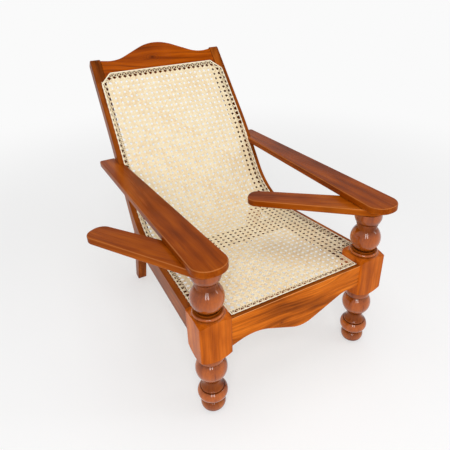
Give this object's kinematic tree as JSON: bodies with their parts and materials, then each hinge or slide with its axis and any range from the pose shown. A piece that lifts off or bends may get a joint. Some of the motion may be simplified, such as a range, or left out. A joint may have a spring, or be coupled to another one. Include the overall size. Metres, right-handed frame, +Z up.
{
  "type": "chair",
  "caption": "Low reclining planters chair: turned front legs, swept caned seat and back, serpentine crest and apron, flat arms with leg rests that swing out from beneath.",
  "frame": {"origin": "floor point under the middle of the bounding box with the leg rests as pictured", "axes": "+Z up, -Y towards the front, where the sitter faces, +X towards the viewer's right"},
  "size_m": [0.8314, 1.1096, 0.879],
  "materials": {
    "turned_wood": "glossy lacquer over reddish brown hardwood",
    "frame_wood": "glossy lacquer over reddish brown hardwood",
    "board_wood": "glossy lacquer over orange brown figured hardwood",
    "arm_wood": "satin lacquer over warm brown hardwood",
    "pin_wood": "bare hardwood",
    "cane": "natural woven cane, light sheen",
    "steel": "zinc plated"
  },
  "bodies": {
    "chair": {"front_leg_right": "turned_wood", "front_leg_left": "turned_wood", "side_member_right": "frame_wood", "side_member_left": "frame_wood", "rear_leg_right": "frame_wood", "rear_leg_left": "frame_wood", "crest_rail": "board_wood", "front_apron": "board_wood", "cross_rail": "frame_wood", "arm_right": "arm_wood", "arm_left": "arm_wood", "pivot_pin_right": "pin_wood", "pivot_pin_left": "pin_wood", "cane_panel": "cane", "cane_binder": "cane", "arm_screws": "steel"},
    "rest_right": {"leg_rest_right": "arm_wood"},
    "rest_left": {"leg_rest_left": "arm_wood"}
  },
  "joints": [
    {"name": "leg_rest_right_swing", "type": "hinge", "parent": "chair", "child": "rest_right", "pos_m": [0.35816, -0.4752, 0.54224], "axis": [0, 0.0616, 0.9981], "range_deg": [-228, 40]},
    {"name": "leg_rest_left_swing", "type": "hinge", "parent": "chair", "child": "rest_left", "pos_m": [-0.19184, -0.4752, 0.54224], "axis": [0, 0.0616, 0.9981], "range_deg": [-30, 150]}
  ]
}
